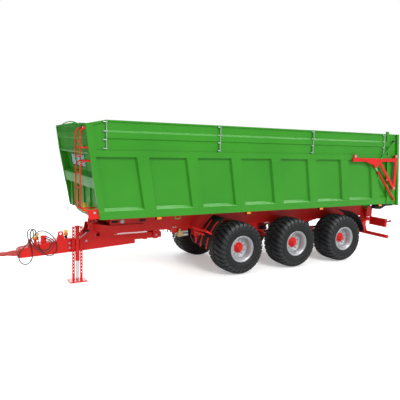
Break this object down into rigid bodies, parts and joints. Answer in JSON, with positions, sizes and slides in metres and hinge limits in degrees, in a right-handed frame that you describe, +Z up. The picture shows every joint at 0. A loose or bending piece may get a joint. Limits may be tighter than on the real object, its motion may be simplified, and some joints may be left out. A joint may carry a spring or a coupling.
{
  "type": "three-axle farm tipping trailer",
  "caption": "Long rear-tipping farm trailer: steel body with extension sides, tailgate on side arms, sprung chassis on wide tyres, straight drawbar with parking jack.",
  "frame": {"origin": "on the ground under the middle of the whole trailer", "axes": "+X to the drawbar, +Y to the left side, +Z up"},
  "size_m": [10.2101, 2.5768, 3.4],
  "materials": {
    "red_paint": "gloss enamel over steel",
    "green_paint": "gloss enamel over steel",
    "silver_paint": "silver wheel lacquer",
    "tyre_rubber": "matt moulded rubber",
    "black_plastic": "grained black plastic",
    "dark_steel": "worn enamel over forged steel",
    "chromed_rod": "ground chromed rod",
    "clear_sheet": "clear plastic sheet",
    "black_rubber": "smooth hose rubber",
    "lamp_lens": "moulded lamp lens in a black housing",
    "yellow_cap": "moulded coupling cap"
  },
  "bodies": {
    "chassis": {"main_rails": "red_paint", "cross_members": "red_paint", "front_neck": "red_paint", "drawbar": "red_paint", "coupling_eye": "dark_steel", "axle_front": "red_paint", "axle_middle": "red_paint", "axle_rear": "red_paint", "leaf_springs": "red_paint", "spring_hangers": "red_paint", "mudguards": "black_plastic", "mudguard_brackets": "red_paint", "rear_guard": "red_paint", "rear_lamps": "lamp_lens", "jack_sleeve": "red_paint", "hose_brake_line": "black_rubber", "hose_tipping": "black_rubber", "hose_tailgate": "black_rubber", "hose_couplings": "yellow_cap", "hose_rest": "red_paint"},
    "jack": {"jack_leg": "red_paint"},
    "tipping_body": {"body_floor": "green_paint", "side_wall_left": "green_paint", "side_wall_right": "green_paint", "front_wall": "green_paint", "window_pane": "clear_sheet", "extension_left": "green_paint", "extension_right": "green_paint", "extension_front": "green_paint", "ladders": "red_paint"},
    "tailgate": {"tailgate": "green_paint", "gate_arm_left": "red_paint", "gate_arm_right": "red_paint"},
    "gate_barrel_left": {"gate_barrel_left": "red_paint"},
    "gate_barrel_right": {"gate_barrel_right": "red_paint"},
    "gate_rod_left": {"gate_rod_left": "chromed_rod"},
    "gate_rod_right": {"gate_rod_right": "chromed_rod"},
    "lift_barrel": {"lift_barrel": "red_paint"},
    "lift_stage_1": {"lift_stage_1": "chromed_rod"},
    "lift_stage_2": {"lift_stage_2": "chromed_rod"},
    "lift_stage_3": {"lift_stage_3": "chromed_rod"},
    "lift_stage_4": {"lift_stage_4": "chromed_rod"},
    "lift_stage_5": {"lift_stage_5": "chromed_rod"},
    "wheel_front_left": {"tyre_front_left": "tyre_rubber", "wheel_front_left": "silver_paint"},
    "wheel_front_right": {"tyre_front_right": "tyre_rubber", "wheel_front_right": "silver_paint"},
    "wheel_middle_left": {"tyre_middle_left": "tyre_rubber", "wheel_middle_left": "silver_paint"},
    "wheel_middle_right": {"tyre_middle_right": "tyre_rubber", "wheel_middle_right": "silver_paint"},
    "wheel_rear_left": {"tyre_rear_left": "tyre_rubber", "wheel_rear_left": "silver_paint"},
    "wheel_rear_right": {"tyre_rear_right": "tyre_rubber", "wheel_rear_right": "silver_paint"}
  },
  "joints": [
    {"name": "wheel_front_left_spin", "type": "hinge", "parent": "chassis", "child": "wheel_front_left", "pos_m": [0.155, 0.968, 0.6], "axis": [0, 1, 0], "continuous": true},
    {"name": "wheel_front_right_spin", "type": "hinge", "parent": "chassis", "child": "wheel_front_right", "pos_m": [0.155, -0.968, 0.6], "axis": [0, 1, 0], "continuous": true},
    {"name": "wheel_middle_left_spin", "type": "hinge", "parent": "chassis", "child": "wheel_middle_left", "pos_m": [-1.445, 0.968, 0.6], "axis": [0, 1, 0], "continuous": true},
    {"name": "wheel_middle_right_spin", "type": "hinge", "parent": "chassis", "child": "wheel_middle_right", "pos_m": [-1.445, -0.968, 0.6], "axis": [0, 1, 0], "continuous": true},
    {"name": "wheel_rear_left_spin", "type": "hinge", "parent": "chassis", "child": "wheel_rear_left", "pos_m": [-3.045, 0.968, 0.6], "axis": [0, 1, 0], "continuous": true},
    {"name": "wheel_rear_right_spin", "type": "hinge", "parent": "chassis", "child": "wheel_rear_right", "pos_m": [-3.045, -0.968, 0.6], "axis": [0, 1, 0], "continuous": true},
    {"name": "jack_slide", "type": "slide", "parent": "chassis", "child": "jack", "axis": [0, 0, 1], "range_m": [0, 0.38]},
    {"name": "body_tip", "type": "hinge", "parent": "chassis", "child": "tipping_body", "pos_m": [-4.645, 0, 1.2], "axis": [0, -1, 0], "range_deg": [0, 45]},
    {"name": "tailgate_lift", "type": "hinge", "parent": "tipping_body", "child": "tailgate", "pos_m": [-3.227, 0, 2.73], "axis": [0, 1, 0], "range_deg": [0, 70]},
    {"name": "gate_barrel_left_turn", "type": "hinge", "parent": "tipping_body", "child": "gate_barrel_left", "pos_m": [-4.837, 1.2615, 1.56], "axis": [0, -1, 0], "range_deg": [0, 11.98]},
    {"name": "gate_rod_left_slide", "type": "slide", "parent": "gate_barrel_left", "child": "gate_rod_left", "axis": [0.6823, 0, 0.7311], "range_m": [0, 0.8778]},
    {"name": "gate_barrel_right_turn", "type": "hinge", "parent": "tipping_body", "child": "gate_barrel_right", "pos_m": [-4.837, -1.2615, 1.56], "axis": [0, -1, 0], "range_deg": [0, 11.98]},
    {"name": "gate_rod_right_slide", "type": "slide", "parent": "gate_barrel_right", "child": "gate_rod_right", "axis": [0.6823, 0, 0.7311], "range_m": [0, 0.8778]},
    {"name": "lift_barrel_turn", "type": "hinge", "parent": "chassis", "child": "lift_barrel", "pos_m": [-0.645, 0, 0.95], "axis": [0, -1, 0], "range_deg": [0, 22.32]},
    {"name": "lift_stage_1_slide", "type": "slide", "parent": "lift_barrel", "child": "lift_stage_1", "axis": [0, 0, 1], "range_m": [0, 0.6076]},
    {"name": "lift_stage_2_slide", "type": "slide", "parent": "lift_stage_1", "child": "lift_stage_2", "axis": [0, 0, 1], "range_m": [0, 0.6076]},
    {"name": "lift_stage_3_slide", "type": "slide", "parent": "lift_stage_2", "child": "lift_stage_3", "axis": [0, 0, 1], "range_m": [0, 0.6076]},
    {"name": "lift_stage_4_slide", "type": "slide", "parent": "lift_stage_3", "child": "lift_stage_4", "axis": [0, 0, 1], "range_m": [0, 0.6076]},
    {"name": "lift_stage_5_slide", "type": "slide", "parent": "lift_stage_4", "child": "lift_stage_5", "axis": [0, 0, 1], "range_m": [0, 0.6076]}
  ],
  "couplings": [
    {"joint": "gate_barrel_left_turn", "follows": "tailgate_lift", "ratio": 0.16824},
    {"joint": "gate_rod_left_slide", "follows": "tailgate_lift", "m_per_rad": 0.71683},
    {"joint": "gate_barrel_right_turn", "follows": "tailgate_lift", "ratio": 0.16824},
    {"joint": "gate_rod_right_slide", "follows": "tailgate_lift", "m_per_rad": 0.71683},
    {"joint": "lift_barrel_turn", "follows": "body_tip", "ratio": 0.49157},
    {"joint": "lift_stage_1_slide", "follows": "body_tip", "m_per_rad": 0.77109},
    {"joint": "lift_stage_2_slide", "follows": "body_tip", "m_per_rad": 0.77109},
    {"joint": "lift_stage_3_slide", "follows": "body_tip", "m_per_rad": 0.77109},
    {"joint": "lift_stage_4_slide", "follows": "body_tip", "m_per_rad": 0.77109},
    {"joint": "lift_stage_5_slide", "follows": "body_tip", "m_per_rad": 0.77109}
  ]
}
